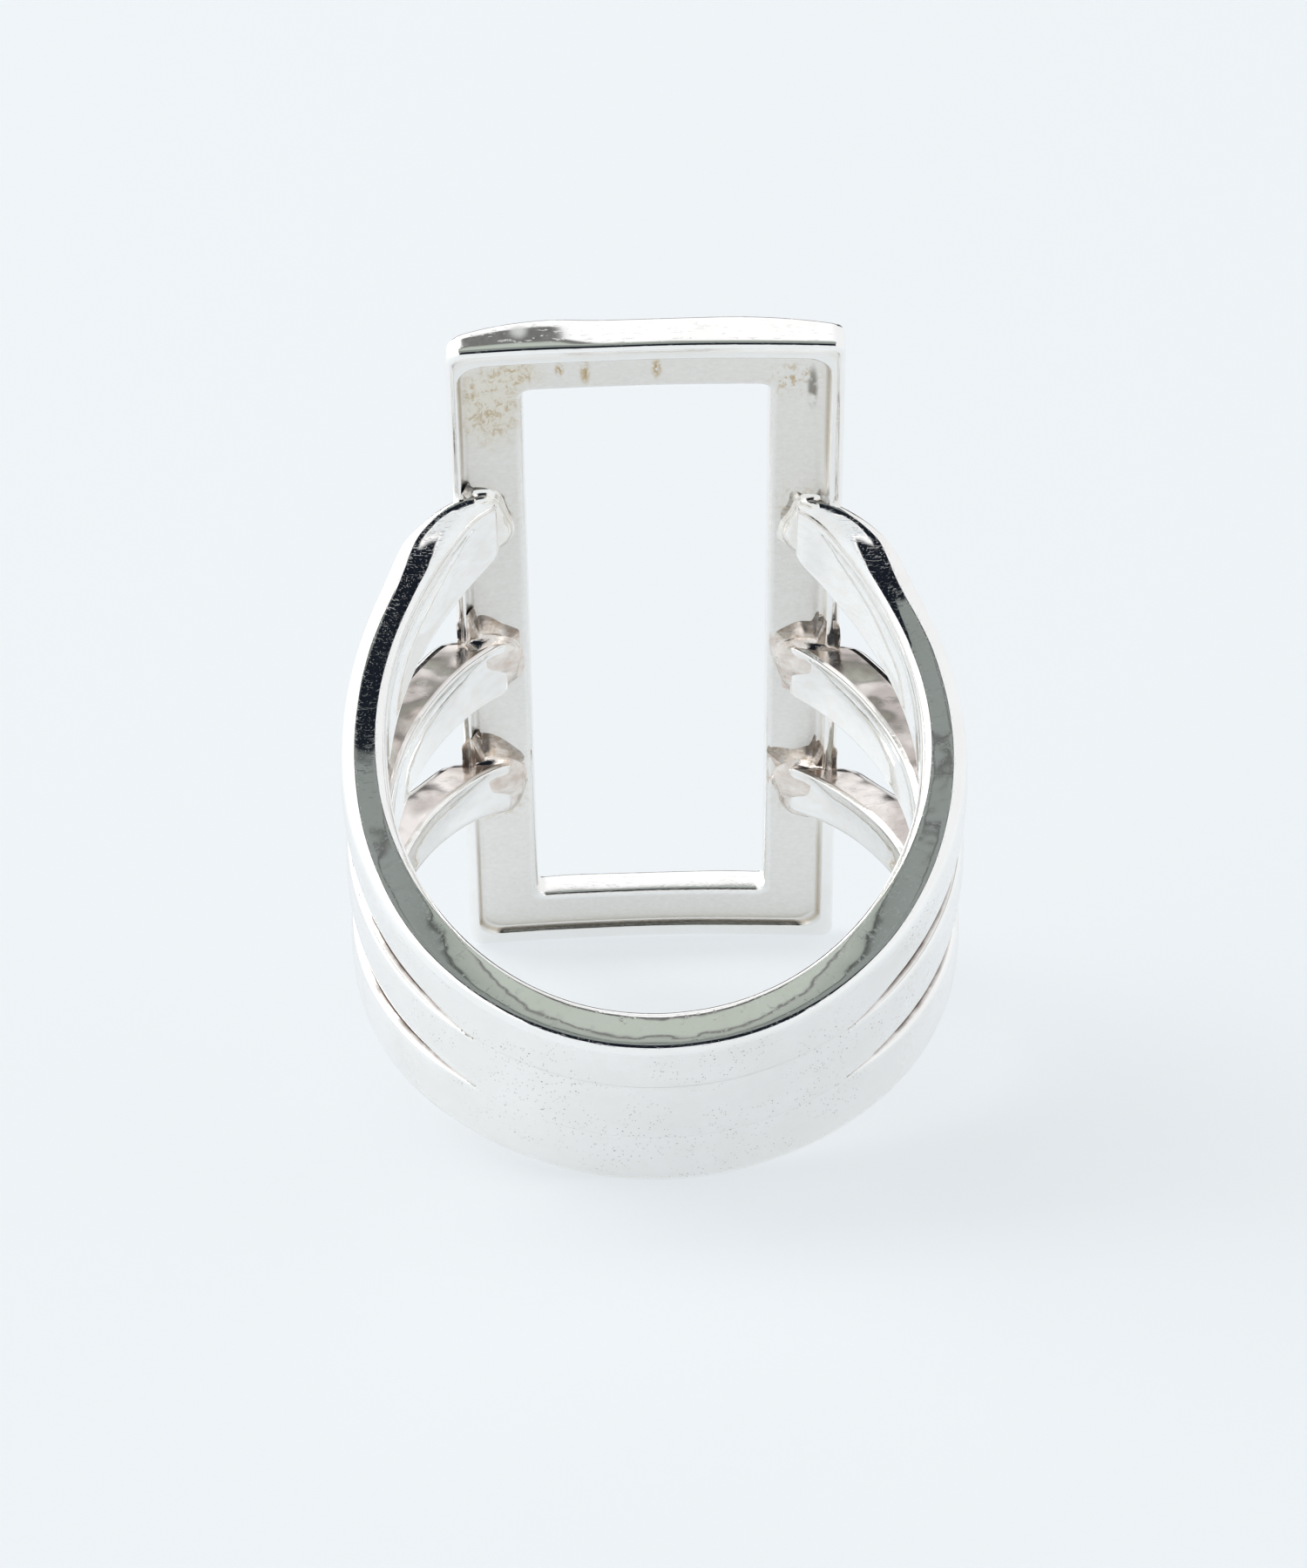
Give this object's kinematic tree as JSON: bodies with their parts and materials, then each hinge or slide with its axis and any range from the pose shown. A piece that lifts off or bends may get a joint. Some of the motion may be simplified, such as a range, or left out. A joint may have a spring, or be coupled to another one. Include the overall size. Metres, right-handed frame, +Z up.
{
  "type": "finger ring",
  "caption": "Polished silver finger ring with a long open rectangular head carried on bars that fork from a solid palm.",
  "frame": {"origin": "centre of the bounding box in x and y, on the surface the ring rests on", "axes": "+X across the finger, +Z up from the resting surface; the ring leans on the far outer rim of its palm and the far lower corners of its head, so the finger axis runs down towards +Y, 49.75 degrees below the horizontal"},
  "size_m": [0.0198, 0.0288, 0.0293],
  "materials": {
    "silver_head": "polished outside, satin underside with flux stains",
    "silver_bars": "mirror polished",
    "silver_solder": "soft polish, slightly yellow"
  },
  "bodies": {
    "root": {"head_frame": "silver_head", "shank_bar_near": "silver_bars", "shank_bar_middle": "silver_bars", "shank_bar_far": "silver_bars", "palm_solder_near": "silver_solder", "palm_solder_far": "silver_solder", "head_solder_near_left": "silver_solder", "head_solder_near_right": "silver_solder", "head_solder_middle_left": "silver_solder", "head_solder_middle_right": "silver_solder", "head_solder_far_left": "silver_solder", "head_solder_far_right": "silver_solder"}
  },
  "joints": []
}
